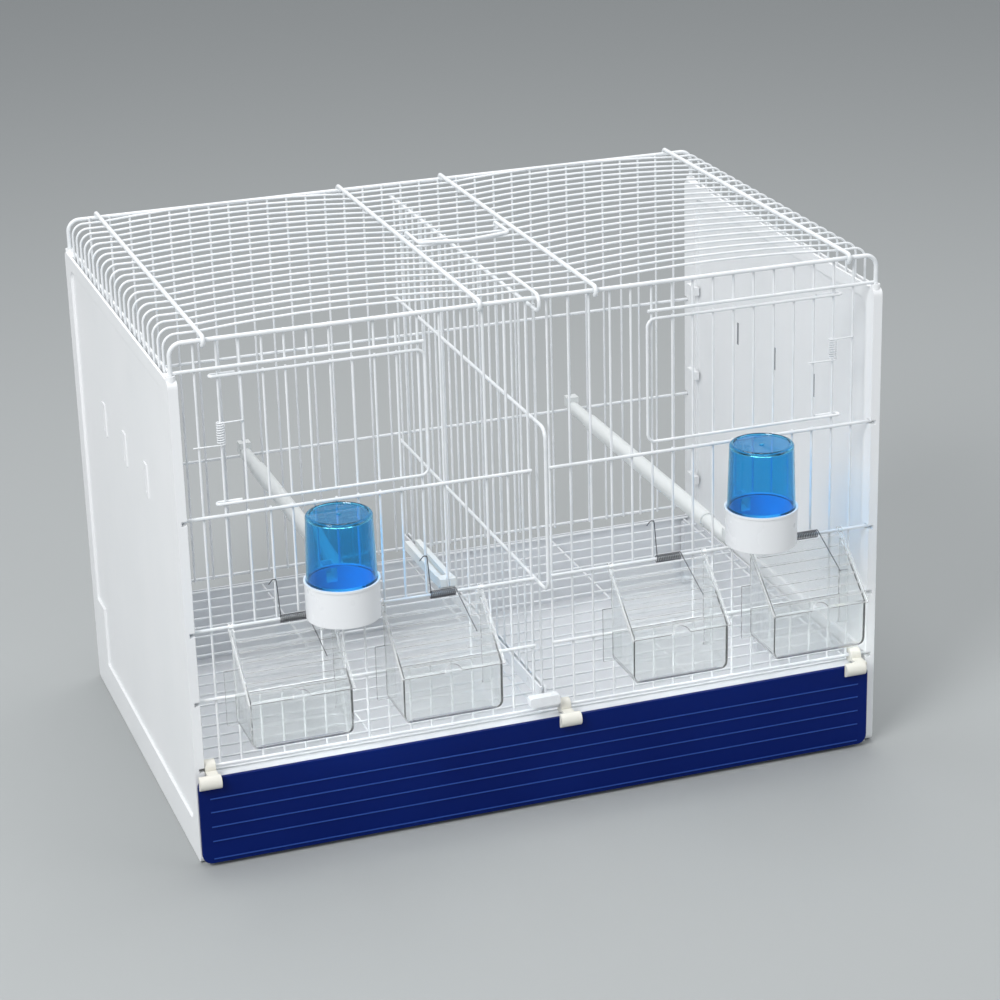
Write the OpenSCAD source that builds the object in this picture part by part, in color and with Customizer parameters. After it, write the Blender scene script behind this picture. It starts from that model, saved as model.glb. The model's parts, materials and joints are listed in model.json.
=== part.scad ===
// Double wire breeding cage for small birds. Two moulded side panels carry a front, a
// back and a roof grille. A divider slides in through a slot in the middle of the front.
// X runs along the front, Y from front to back and Z up. All sizes are in millimetres.
// The origin lies on the ground under the middle of the whole object.

/* [Cage] */
// Width over both side panels
cage_w = 600; // [580:2:620]
// Depth of the side panels, front to back
cage_d = 398; // [380:2:420]
// Height of the side panels
panel_h = 410; // [406:1:414]
// Height of the roof's edge wires above the side panels
roof_rise = 28; // [26:1:34]

/* [Wire] */
// Thin wires of the grilles
wire_d = 2; // [1.8:0.1:2.2]
// Cross wires of the grilles
cross_d = 2.8; // [2.6:0.1:3]
// Edge wires and roof bars
edge_d = 3.6; // [3.2:0.1:3.8]
// How far welded wires sink into each other
weld = 0.2; // [0.15:0.05:0.3]
// Bend radius of the roof wires at the sides
bend_r = 10; // [8:0.5:12]
// Front grille's thin wires behind the panels' front faces
grille_inset = 8.2; // [8:0.1:8.6]
// Height of the lowest cross wires
base_rail_z = 82.5; // [82:0.5:85]
// Height of the cross wires under the feeder openings
feeder_low_z = 140.4; // [138:0.2:143]
// Height of the cross wires over the feeder openings
feeder_high_z = 200; // [198:0.5:203]
// Height of the cross wires under the doors
door_low_z = 294; // [293:0.5:299]
// Height of the cross wires over the doors, above the side panels
head_rise = 4.5; // [4:0.25:6]

/* [Side panels] */
// Thickness of a panel's rim
rim_t = 8; // [7.6:0.1:9]
// Depth of the recess in its outer face
outer_recess = 2.4; // [1.6:0.1:2.6]
// Depth of the recess in its inner face
inner_recess = 3.4; // [2.6:0.1:3.6]
// Corner radius of a panel
panel_corner_r = 6; // [3:0.5:10]
// Spacing of the three slots
slot_spacing = 81; // [60:1:100]
// Height of a slot
slot_h = 21; // [14:1:30]
// Width of a slot
slot_w = 3; // [2:0.25:5]
// Middle of the slots below the panel's top
slot_drop = 119.5; // [90:0.5:160]

/* [Roof] */
// Distance of the outer roof bars from the middle
outer_bar_x = 270; // [264:1:274]
// Distance of the inner roof bars from the middle
inner_bar_x = 48.5; // [47.5:0.25:52]
// How far the roof wires bulge between the bars
crown = 4.6; // [3:0.2:6]
// How far the bars curl round the edge wires, in degrees
curl_angle = 160; // [120:5:170]
// Wire of the carry handle
handle_d = 3; // [2.6:0.1:3.2]
// Distance of the handle's eyes from the middle
handle_half = 40; // [34:1:42]
// Reach of the handle from its pivot
handle_reach = 35; // [30:1:40]
// Slant of the grip's two halves in degrees
handle_bow = 13; // [6:1:18]

/* [Doors] */
// Frame wire of a door
door_frame_d = 2.4; // [2.2:0.1:2.6]
// Bars of a door
door_bar_d = 1.9; // [1.7:0.1:2]
// Gap between a door's bottom wire and the cross wire under it
door_low_gap = 9.6; // [8:0.2:11]
// Gap between a door's top wire and the cross wire over it
door_high_gap = 6.5; // [5.5:0.25:8]
// How far a door reaches past the opening's free side
door_lap = 4.7; // [4:0.1:5.5]
// How far a door's long wires reach past the hinge wire
door_tail = 4; // [0.5:0.25:6]
// Length of the wire turned back at a door's hinge
door_return = 14; // [9:0.5:14]
// Corner radius of a door's frame
door_corner_r = 7; // [5:0.5:10]

/* [Springs] */
// Wire of a door spring
door_spring_wire = 1.1; // [0.9:0.05:1.2]
// Mean radius of a door spring
door_spring_r = 3; // [2.6:0.1:3.2]
// Curls of a door spring
door_spring_turns = 9; // [7:1:9]
// Length of a door spring's coil
door_spring_len = 18; // [16.5:0.5:22]
// Height of a door spring's middle above the door's middle
door_spring_up = 5.2; // [-8:0.2:12]
// Wire of a feeder spring
lid_spring_wire = 0.8; // [0.75:0.05:0.9]
// Mean radius of a feeder spring
lid_spring_r = 3.05; // [2.8:0.05:3.1]
// Curls of a feeder spring
lid_spring_turns = 14; // [12:1:14]
// Length of a feeder spring's coil
lid_spring_len = 21.5; // [21:0.1:22.5]
// Length of a feeder spring's leg up the grille
lid_spring_leg = 33; // [26:1:40]

/* [Feeders] */
// Length of a feeder lid from its hinge
lid_len = 70.5; // [66:0.5:74]
// Slope of a closed feeder lid in degrees
lid_slope = 39.7; // [38:0.1:41]
// Thickness of a feeder lid
lid_t = 1.6; // [1.2:0.1:2]
// Depth of a lid's side rims
lid_rim = 2.25; // [2:0.25:3]
// Cross ribs on a lid
lid_ribs = 6; // [4:1:7]
// Height of a lid's ribs
rib_h = 1.3; // [0.6:0.1:1.4]
// How far the feeders sit to the right of their springs' grille wires
feeder_shift = 2.5; // [0:0.25:2.75]
// Bottom of a feeder cup below the cross wire under its opening
cup_drop = 27.5; // [20:0.5:29]
// Depth of a feeder cup's bottom
cup_bottom_d = 48.5; // [42:0.5:50]
// Wall of a feeder cup
cup_wall = 1.6; // [1.2:0.1:2]
// Width of a feeder cup's side wings
wing_w = 8; // [6:0.5:9]

/* [Drinkers] */
// Diameter of a drinker's cup
drink_cup_d = 60.6; // [58:0.2:62]
// Height of a drinker's cup
drink_cup_h = 31.4; // [28:0.2:34]
// Wall of a drinker's cup and dome
drink_wall = 1.3; // [1.1:0.1:1.6]
// How much smaller the radius of a dome is at its top
dome_taper = 1.6; // [0.6:0.1:3]
// Gap between the right dome and the door that opens over it
dome_gap = 1.2; // [1:0.1:6]
// Height of the left drinker above the feeder hinges
drink_up = 9.2; // [8:0.2:10]
// How much higher the right drinker hangs
drink_step = 6; // [0:0.5:6.5]
// Outside width of the drinking trough
trough_w = 12; // [10:0.5:13]

/* [Divider] */
// Frame wire of the divider
divider_d = 3; // [2.6:0.1:3.2]
// Height of the divider's upper cross wire
divider_high_z = 335; // [325:1:345]
// Height of the divider's lower cross wire
divider_low_z = 195; // [185:1:205]
// How far the divider's loop stands out in front of the panels
divider_reach = 14; // [12:0.5:17]
// Height of the plastic strip under the divider
track_h = 12; // [9:0.5:16]
// Width of the plastic strip under the divider
track_w = 6; // [5:0.25:8]

/* [Tray] */
// Height of the tray front's top edge
tray_front_h = 78; // [76:0.25:78.5]
// Thickness of the tray front
tray_front_t = 3.5; // [2.5:0.25:4]
// Corner radius of the tray front
tray_corner_r = 8; // [4:0.5:12]
// Height of the tray's rim
tray_h = 75; // [70:0.5:75.5]
// Wall of the tray
tray_wall = 2; // [1.5:0.25:2.5]
// Wires across the floor grille
floor_wires = 19; // [15:1:22]
// Width of a tray clip's barrel
clip_w = 18; // [14:0.5:20]
// Radius of a tray clip's barrel
clip_r = 6; // [4.5:0.1:6.5]
// Radius of a tray clip's jaw
jaw_r = 6; // [4.8:0.1:6.2]

/* [Perches] */
// Width of a long perch
perch_w = 14; // [11:0.5:15]
// Height of a long perch's cross section
perch_t = 12.5; // [10:0.5:13.5]
// Height of the long perches
perch_z = 204.5; // [203:0.5:220]
// Length of a long perch's narrower ends
perch_neck = 45; // [20:1:60]
// Length of the short perch
short_perch_len = 93; // [70:1:140]
// Width of the short perch
short_perch_w = 13.5; // [10:0.5:15]
// Height of the short perch's channel
short_perch_t = 8; // [6:0.5:10]

/* [Hidden] */

wire_fn = 16;
round_fn = 64;
crown_fn = 360;
corner_steps = 6;
cut = 1;
link_lap = 0.2;
bend_swell = 0.03;

// Clearances
hook_gap = 0.15;
eye_gap = 0.3;
slide_gap = 0.35;
seat_gap = 0.25;
socket_gap = 0.3;

wire_white = [0.93, 0.93, 0.92];
panel_white = [0.94, 0.94, 0.94];
clear_plastic = [0.86, 0.89, 0.9, 0.45];
dome_blue = [0.3, 0.6, 0.78, 0.6];
navy = [0.04, 0.1, 0.42];
ivory = [0.93, 0.91, 0.83];
perch_white = [0.88, 0.89, 0.88];
spring_steel = [0.45, 0.45, 0.46];

// Wire positions along the front
wire_slots = 34;
wire_margin = 5.1;
half_w = cage_w / 2;
pitch = (cage_w - 2 * wire_margin) / (wire_slots - 1);
hinge_wire = 2;
free_wire = 11;
slot_wire = 16;
feeder_wires = [4, 11, 22, 29];
drinker_wire = 6.5;
perch_wires = [8, 26];
short_perch_wire = 12;

// Heights and depths of the front grille
head_z = panel_h + head_rise;
edge_z = panel_h + roof_rise;
leg_inset = 4;
leg_x = half_w - leg_inset;
socket_depth = 9;
leg_foot_gap = 1;
leg_foot_z = panel_h - socket_depth + leg_foot_gap;
cross_y = grille_inset - (wire_d + cross_d) / 2 + weld;
edge_y = grille_inset - (wire_d + edge_d) / 2 + weld;
rail_end = 4.6;
rail_end_x = half_w - rail_end;
rail_stub = 1.5;
slot_end_x = wire_x(slot_wire + 1) - rail_stub;
head_stub = 4;
back_low_drop = 1.5;
back_high_drop = 0.5;
back_rails = [base_rail_z, feeder_high_z - back_low_drop, door_low_z - back_high_drop];

// Roof
bar_z = edge_z + edge_d + hook_gap;
roof_z = bar_z - (edge_d + wire_d) / 2 + weld;
roof_gaps = 22;
roof_pitch = (cage_d - 2 * grille_inset) / roof_gaps;
curl_r = edge_d + hook_gap;
handle_gap_index = 12;
handle_y = grille_inset + handle_gap_index * roof_pitch;
handle_eye_r = wire_d / 2 + eye_gap + handle_d / 2;
handle_corner_r = 6;
handle_middle_r = 12;
handle_eye_end = -165;
nugget = 3;

// Doors
door_eye_r = wire_d / 2 + eye_gap + door_frame_d / 2;
door_y = grille_inset - door_eye_r;
door_bar_y = door_y + (door_frame_d + door_bar_d) / 2 - weld;
door_low = door_low_z + door_low_gap;
door_high = head_z - door_high_gap;
door_spring_z = (door_low + door_high - door_spring_len) / 2 + door_spring_up;

// Feeders
coil_start = 2;
coil_gap = 0.5;
coil_clear = lid_spring_r + lid_spring_wire / 2 + coil_gap;
barrel_gap = 3;
barrel_in = 2 * pitch + wire_d / 2 + barrel_gap;
barrel_len = 3.65;
barrel_r = 3;
lid_half = barrel_in + barrel_len;
lid_rim_t = 1.3;
lid_start = 5;
rib_w = 1.6;
rib_end = 4;
rim_start = 1;
notch_r = 7;
cup_half = lid_half - lid_rim_t - slide_gap;
cup_back_gap = 1.1;
cup_lip_rise = 0.4;
cup_top_gap = 1.6;
cup_front_inset = 1.5;
cup_back_y = cross_y - cross_d / 2 - cup_back_gap;
cup_low_z = feeder_low_z - cup_drop;
cup_lip_z = feeder_low_z + cross_d / 2 + cup_lip_rise;
cup_top_n = -lid_t / 2 - cup_top_gap;
cup_front_s = lid_len - cup_front_inset;
cup_corner_r = 9;
wing_start = 4;
wing_h = 47;
wing_low = cup_low_z + wing_start;
wing_high = wing_low + wing_h;

// Drinkers
drink_y = -26;
drink_shift = [0.7, 1.7];
dome_low = 3.3;
dome_top = door_low - door_frame_d / 2 - dome_gap - feeder_high_z - drink_up - drink_step;
trough_low = 16;
trough_h = 12;
trough_end_y = 24;
front_reach = drink_cup_d / 2 - drink_y;
mid_y = (cage_d - front_reach) / 2;

// Divider
divider_drop = 8.5;
divider_end = 4.5;
divider_start = 5;
divider_top_z = edge_z - divider_drop;
divider_back_y = cage_d - grille_inset - divider_end;
divider_bars = 21;
divider_first_y = grille_inset + divider_start;
divider_side = (wire_d + divider_d) / 2 - weld;
hook_rise = 1.25;
hook_reach = 5;
hook_z = bar_z + hook_rise;
hook_r = (hook_z - divider_top_z) / 2;
hook_front_y = edge_y - hook_reach;
hook_end_y = 64;
loop_r = 10;
track_gap = 5.5;
track_floor = 4;
track_low = base_rail_z + track_gap;
bottom_wire_z = track_low + track_floor;
foot_drop = 3.5;
foot_low = bottom_wire_z - foot_drop;
foot_h = 8.5;
foot_left = 16;
foot_right = 10.2;
foot_corner_r = 2;
foot_front_y = -4;
foot_gap = 0.6;
foot_grip = 4;
foot_back_y = cross_y - cross_d / 2 - foot_gap;
foot_wire_end_y = foot_back_y - foot_grip;

// Tray
rail_h = 2.5;
rail_reach = 4;
tray_lift = 0.5;
tray_side_gap = 1.5;
tray_front_short = 10;
tray_low = rail_h + tray_lift;
tray_half = half_w - rim_t - tray_side_gap;
tray_front_left = -half_w;
tray_front_right = half_w - tray_front_short;
tray_front_y = -4.5;
tray_back_gap = 12;
tray_back_y = cage_d - tray_back_gap;
tray_ledge_y = 12;
tray_floor_t = 2;
front_rib_h = 0.8;
front_rib_w = 1;
front_rib_end = 9;
front_rib_zs = [60.5, 48.5, 35.5, 22.7, 7];
floor_drop = 1;
floor_end = 1;
floor_front_gap = 4;
floor_back_gap = 3;
floor_wire_z = tray_h - floor_drop;
floor_first_y = tray_ledge_y + floor_front_gap;
floor_last_y = tray_back_y - tray_wall - floor_back_gap;
lug = 8;
lug_sink = 0.2;
jaw_w = 9;
jaw_side_gap = 0.5;
clip_drop = 2.1;
clip_off = 1.4;
clip_z = tray_front_h - clip_drop;
clip_xs = [rim_t - half_w + jaw_side_gap + jaw_w / 2,
    (wire_x(slot_wire + 1) + wire_x(slot_wire + 2)) / 2 - clip_off,
    wire_x(wire_slots - 2) + wire_d / 2 + jaw_side_gap + jaw_w / 2];
clip_shift = [-3.4, -0.4, -6.3];

// Perches
perch_head_w = 11;
perch_head_h = 10;
perch_head_up = 4.5;
perch_head_d = 9;
perch_head_lip = 0.2;
perch_head_front = wire_d / 2 + perch_head_lip;
perch_head_lap = 2;
neck_w = 11;
neck_t = 10;
short_perch_rise = 2;
short_perch_z = feeder_high_z + short_perch_rise + short_perch_t / 2;

// Middle of one thin wire of the front or the back grille
function wire_x(k) = (k - (wire_slots - 1) / 2) * pitch;

// True for wires cut out by a feeder opening, by a spring beside one, or by a door
function in_feeder(k) = len([for (c = feeder_wires) if (abs(k - c) <= 1) c]) > 0;
function at_coil(k) = len([for (c = feeder_wires) if (k == c + 1) c]) > 0;
function from_side(k) = min(k, wire_slots - 1 - k);
function in_door(k) = from_side(k) > hinge_wire && from_side(k) < free_wire;

// Ends of the pieces of one thin wire of the front grille, from the bottom to the top
function wire_ends(k) = concat([base_rail_z - cross_d / 2],
    in_feeder(k) ? [feeder_low_z + cross_d / 2,
        at_coil(k) ? feeder_high_z + coil_clear : feeder_high_z - cross_d / 2] : [],
    in_door(k) ? [door_low_z + cross_d / 2, head_z - cross_d / 2] : [],
    [edge_z + wire_d / 2]);

// Points on an arc, and the outline of a rectangle with round corners
function arc(c, r, a0, a1) = [for (i = [0 : corner_steps])
    let (a = a0 + (a1 - a0) * i / corner_steps) c + r * [cos(a), sin(a)]];
function round_rect(x0, y0, x1, y1, r) = concat(arc([x1 - r, y1 - r], r, 0, 90),
    arc([x0 + r, y1 - r], r, 90, 180), arc([x0 + r, y0 + r], r, 180, 270),
    arc([x1 - r, y0 + r], r, 270, 360));

// Point in the plane of a closed feeder lid: s along its slope, n square to it
function slope_y(s, n) = cross_y - s * cos(lid_slope) - n * sin(lid_slope);
function slope_z(s, n) = feeder_high_z - s * sin(lid_slope) + n * cos(lid_slope);

// Moves the cage so that the origin lies under the middle of the whole object
module placed() translate([0, -mid_y, 0]) children();

// Straight round wire between two points
module rod(a, b, d) {
    v = b - a;
    translate(a)
        rotate([0, acos(v[2] / norm(v)), atan2(v[1], v[0])])
            cylinder(h = norm(v), d = d, $fn = wire_fn);
}

// Straight wire whose ends run a little into the bends or welds that it meets
module link(a, b, d) {
    v = (b - a) / norm(b - a) * link_lap;
    rod(a - v, b + v, d);
}

// Bent round wire in the XY plane, about the origin, a hair thicker than its links
module bend(r, a0, a1, d, steps = round_fn)
    rotate([0, 0, a0])
        rotate_extrude(angle = a1 - a0, $fn = steps)
            translate([r, 0])
                circle(d = d + bend_swell, $fn = wire_fn);

// Turns the XY plane into the XZ plane, or into the YZ plane
module upright() rotate([90, 0, 0]) children();
module lengthwise() rotate([90, 0, 90]) children();

// Box between two corners
module box(a, b) translate(a) cube(b - a);

// Wire bent down at both sides of the cage, without its middle
module wire_shoulders(top, d)
    for (s = [-1, 1]) {
        link([s * leg_x, 0, leg_foot_z], [s * leg_x, 0, top - bend_r], d);
        translate([s * (leg_x - bend_r), 0, top - bend_r])
            upright()
                bend(bend_r, s > 0 ? 0 : 90, s > 0 ? 90 : 180, d);
    }

// Edge wire of the roof, bent down into the side panels
module edge_wire() {
    wire_shoulders(edge_z, edge_d);
    link([-leg_x + bend_r, 0, edge_z], [leg_x - bend_r, 0, edge_z], edge_d);
}

module front_grille() placed() color(wire_white) {
    translate([0, edge_y, 0])
        edge_wire();
    rod([-rail_end_x, cross_y, base_rail_z], [rail_end_x, cross_y, base_rail_z], cross_d);
    for (s = [-1, 1]) {
        for (z = [feeder_low_z, feeder_high_z, door_low_z])
            rod([s * slot_end_x, cross_y, z], [s * rail_end_x, cross_y, z], cross_d);
        rod([s * (wire_x(wire_slots - 1 - free_wire) - head_stub), cross_y, head_z],
            [s * leg_x, cross_y, head_z], cross_d);
    }
    for (k = [1 : wire_slots - 2]) {
        ends = wire_ends(k);
        for (i = [0 : 2 : len(ends) - 2])
            rod([wire_x(k), grille_inset, ends[i]], [wire_x(k), grille_inset, ends[i + 1]],
                wire_d);
    }
}

module back_grille() placed() color(wire_white) {
    translate([0, cage_d - edge_y, 0])
        edge_wire();
    for (z = back_rails)
        rod([-rail_end_x, cage_d - cross_y, z], [rail_end_x, cage_d - cross_y, z], cross_d);
    for (k = [1 : wire_slots - 2])
        rod([wire_x(k), cage_d - grille_inset, base_rail_z - cross_d / 2],
            [wire_x(k), cage_d - grille_inset, edge_z + wire_d / 2], wire_d);
}

// Part of a roof wire that bulges up between two bars
module crown_wire(x0, x1) {
    chord = x1 - x0;
    r = (chord * chord / 4 + crown * crown) / (2 * crown);
    half_angle = asin(chord / 2 / r);
    translate([(x0 + x1) / 2, 0, roof_z + crown - r])
        upright()
            bend(r, 90 - half_angle, 90 + half_angle, wire_d, crown_fn);
}

// Bar across the roof, curled round both edge wires
module roof_bar() {
    link([0, edge_y, bar_z], [0, cage_d - edge_y, bar_z], edge_d);
    translate([0, edge_y, edge_z])
        lengthwise()
            bend(curl_r, 90, 90 + curl_angle, edge_d);
    translate([0, cage_d - edge_y, edge_z])
        lengthwise()
            bend(curl_r, 90 - curl_angle, 90, edge_d);
}

module roof_grille() placed() color(wire_white) {
    for (i = [1 : roof_gaps - 1])
        translate([0, grille_inset + i * roof_pitch, 0]) {
            wire_shoulders(roof_z, wire_d);
            for (s = [-1, 1]) {
                link([s * (outer_bar_x + nugget / 4), 0, roof_z],
                    [s * (leg_x - bend_r), 0, roof_z], wire_d);
                for (x = [outer_bar_x, inner_bar_x])
                    rod([s * x - nugget / 2, 0, roof_z], [s * x + nugget / 2, 0, roof_z],
                        wire_d + weld);
            }
            crown_wire(nugget / 4 - outer_bar_x, -inner_bar_x - nugget / 4);
            crown_wire(inner_bar_x + nugget / 4, outer_bar_x - nugget / 4);
            rod([nugget / 4 - inner_bar_x, 0, roof_z], [inner_bar_x - nugget / 4, 0, roof_z],
                wire_d);
        }
    for (x = [-outer_bar_x, -inner_bar_x, inner_bar_x, outer_bar_x])
        translate([x, 0, 0])
            roof_bar();
}

// Handle, lying flat towards the front, with an eye at each end round a roof wire
module carry_handle() placed() color(wire_white) {
    leg_z = roof_z + handle_eye_r;
    corner_y = handle_y - handle_reach + handle_corner_r;
    slant_x = handle_half - handle_corner_r * (1 - sin(handle_bow));
    slant_y = corner_y - handle_corner_r * cos(handle_bow);
    middle_x = handle_middle_r * sin(handle_bow);
    middle_y = slant_y - (slant_x - middle_x) * tan(handle_bow);
    for (s = [-1, 1]) {
        translate([s * handle_half, handle_y, roof_z])
            lengthwise()
                bend(handle_eye_r, handle_eye_end, 90, handle_d);
        link([s * handle_half, corner_y, leg_z], [s * handle_half, handle_y, leg_z], handle_d);
        translate([s * (handle_half - handle_corner_r), corner_y, leg_z])
            bend(handle_corner_r, s > 0 ? handle_bow - 90 : 180, s > 0 ? 0 : 270 - handle_bow,
                handle_d);
        link([s * middle_x, middle_y, leg_z], [s * slant_x, slant_y, leg_z], handle_d);
    }
    translate([0, middle_y + handle_middle_r * cos(handle_bow), leg_z])
        bend(handle_middle_r, -90 - handle_bow, handle_bow - 90, handle_d);
}

// Upright plate of a side panel. u counts inwards from its outer face.
module slab(s, u0, u1)
    translate([s < 0 ? u0 - half_w : half_w - u1, 0, 0])
        lengthwise()
            linear_extrude(height = u1 - u0)
                children();
module side_box(s, u0, u1, y0, y1, z0, z1)
    slab(s, u0, u1)
        translate([y0, z0])
            square([y1 - y0, z1 - z0]);

recess_front_y = 18;
recess_low_z = 30;
recess_back = 20;
recess_top = 12;
recess_r = 10;
corner_block_d = 48;
corner_block_h = 85;
inner_front_y = 15;
inner_back = 26;
notch_low_u = 3.6;
notch_half_h = 1.9;
notch_depth = 7.9;
slot_mid_z = panel_h - slot_drop;
boss_rim = 4;
boss_t = 1;
groove_half = 1.7;
ear_h = 3;
tab_w = 14;
tab_t = 1.6;
tab_offsets = [-74, 38, 150];
grip_zs = [117, 224, 308];

module side_panel(s) placed() color(panel_white) {
    difference() {
        union() {
            difference() {
                slab(s, 0, rim_t)
                    polygon(round_rect(0, 0, cage_d, panel_h, panel_corner_r));
                difference() {
                    slab(s, -cut, outer_recess)
                        polygon(round_rect(recess_front_y, recess_low_z,
                            cage_d - recess_back, panel_h - recess_top, recess_r));
                    side_box(s, -2 * cut, outer_recess + cut, cage_d - corner_block_d,
                        cage_d, 0, corner_block_h);
                }
                slab(s, rim_t - inner_recess, rim_t + cut)
                    polygon(round_rect(inner_front_y, corner_block_h, cage_d - inner_back,
                        panel_h - recess_top, recess_r));
            }
            for (i = [-1 : 1])
                side_box(s, outer_recess - boss_t, outer_recess + boss_t,
                    cage_d / 2 + i * slot_spacing - slot_w / 2 - boss_rim,
                    cage_d / 2 + i * slot_spacing + slot_w / 2 + boss_rim,
                    slot_mid_z - slot_h / 2 - boss_rim, slot_mid_z + slot_h / 2 + boss_rim);
            for (y = [edge_y, cage_d - edge_y])
                translate([s * leg_x, y, panel_h - socket_depth])
                    cylinder(h = socket_depth + ear_h, r = leg_inset - hook_gap,
                        $fn = round_fn);
        }
        for (i = [-1 : 1])
            side_box(s, -cut, rim_t + cut, cage_d / 2 + i * slot_spacing - slot_w / 2,
                cage_d / 2 + i * slot_spacing + slot_w / 2, slot_mid_z - slot_h / 2,
                slot_mid_z + slot_h / 2);
        for (z = [base_rail_z, feeder_low_z, feeder_high_z, door_low_z])
            side_box(s, notch_low_u, rim_t + cut, -cut, notch_depth, z - notch_half_h,
                z + notch_half_h);
        for (z = back_rails)
            side_box(s, notch_low_u, rim_t + cut, cage_d - notch_depth, cage_d + cut,
                z - notch_half_h, z + notch_half_h);
        side_box(s, leg_inset - groove_half, leg_inset + groove_half,
            grille_inset + roof_pitch - groove_half - cut,
            cage_d - grille_inset - roof_pitch + groove_half + cut, panel_h - socket_depth,
            panel_h + cut);
        for (y = [edge_y, cage_d - edge_y])
            translate([s * leg_x, y, panel_h - socket_depth])
                cylinder(h = socket_depth + ear_h + cut, d = edge_d + 2 * socket_gap,
                    $fn = round_fn);
    }
    side_box(s, rim_t - cut, rim_t + rail_reach, inner_front_y, cage_d - inner_front_y, 0,
        rail_h);
    for (y = tab_offsets)
        side_box(s, rim_t - tab_t, rim_t, cage_d / 2 + y - tab_w / 2,
            cage_d / 2 + y + tab_w / 2, panel_h - cut, panel_h + ear_h);
    for (z = grip_zs)
        side_box(s, rim_t - cut, rim_t + rail_reach, cage_d - inner_back - 7,
            cage_d - inner_back + 12, z - 4, z + 4);
}

module side_panel_left() side_panel(-1);
module side_panel_right() side_panel(1);

// Door of one side, closed. Its two long wires end in a return round the hinge wire.
module door(s) placed() color(wire_white) {
    hinge_x = s * wire_x(wire_slots - 1 - hinge_wire);
    turn_x = hinge_x + s * door_tail;
    free_x = s * (wire_x(wire_slots - 1 - free_wire) - door_lap);
    for (z = [door_low, door_high]) {
        link([turn_x, door_y, z], [free_x + s * door_corner_r, door_y, z], door_frame_d);
        translate([turn_x, grille_inset, z])
            bend(door_eye_r, s > 0 ? -90 : 90, s > 0 ? 90 : 270, door_frame_d);
        link([turn_x, grille_inset + door_eye_r, z],
            [hinge_x - s * door_return, grille_inset + door_eye_r, z], door_frame_d);
    }
    link([free_x, door_y, door_low + door_corner_r],
        [free_x, door_y, door_high - door_corner_r], door_frame_d);
    translate([free_x + s * door_corner_r, door_y, door_low + door_corner_r])
        upright()
            bend(door_corner_r, s > 0 ? 180 : 270, s > 0 ? 270 : 360, door_frame_d);
    translate([free_x + s * door_corner_r, door_y, door_high - door_corner_r])
        upright()
            bend(door_corner_r, s > 0 ? 90 : 0, s > 0 ? 180 : 90, door_frame_d);
    for (k = [hinge_wire + 1 : free_wire - 1])
        rod([s * wire_x(wire_slots - 1 - k), door_bar_y, door_low - door_frame_d / 2],
            [s * wire_x(wire_slots - 1 - k), door_bar_y, door_high + door_frame_d / 2],
            door_bar_d);
}

module door_left() door(-1);
module door_right() door(1);

// Tube round a row of points, closed at both ends. The axis is never along the path.
tube_sides = 6;
curl_rings = 8;
function along(p, i) = let (v = p[min(i + 1, len(p) - 1)] - p[max(i - 1, 0)]) v / norm(v);
function side_of(p, i, axis) = let (v = cross(along(p, i), axis)) v / norm(v);
function ring(p, i, axis, r) = let (a = side_of(p, i, axis), b = cross(along(p, i), a))
    [for (j = [0 : tube_sides - 1]) p[i] + r * (cos(j * 360 / tube_sides) * a
        + sin(j * 360 / tube_sides) * b)];
module tube(p, axis, r) {
    n = len(p);
    points = [for (i = [0 : n - 1]) each ring(p, i, axis, r)];
    walls = [for (i = [0 : n - 2]) for (j = [0 : tube_sides - 1])
        let (a = i * tube_sides + j, b = i * tube_sides + (j + 1) % tube_sides)
            each [[a, a + tube_sides, b], [b, a + tube_sides, b + tube_sides]]];
    first = [for (j = [1 : tube_sides - 2]) [0, j, j + 1]];
    last = [for (j = [1 : tube_sides - 2])
        [(n - 1) * tube_sides, (n - 1) * tube_sides + j + 1, (n - 1) * tube_sides + j]];
    polyhedron(points = points, faces = concat(walls, first, last));
}

// Door spring: lower leg towards -X, coil round the hinge wire, upper leg towards +X
lower_leg = 23;
upper_leg = 18;
leg_lean = 0.035;
function door_spring_path() = concat(
    [[-lower_leg, lower_leg * leg_lean - door_spring_r, 0],
        [-lower_leg / 2, lower_leg / 2 * leg_lean - door_spring_r, 0]],
    [for (i = [0 : curl_rings * door_spring_turns])
        let (a = 270 + i * 360 / curl_rings)
            [door_spring_r * cos(a), door_spring_r * sin(a),
                i * door_spring_len / (curl_rings * door_spring_turns)]],
    [[upper_leg / 2, upper_leg / 2 * leg_lean - door_spring_r, door_spring_len],
        [upper_leg, upper_leg * leg_lean - door_spring_r, door_spring_len]]);
module door_spring(k) placed() color(wire_white)
    translate([wire_x(k), grille_inset, door_spring_z])
        tube(door_spring_path(), [0, 0, 1], door_spring_wire / 2);

module door_spring_left() door_spring(hinge_wire);
module door_spring_right() door_spring(wire_slots - 1 - hinge_wire);

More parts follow.
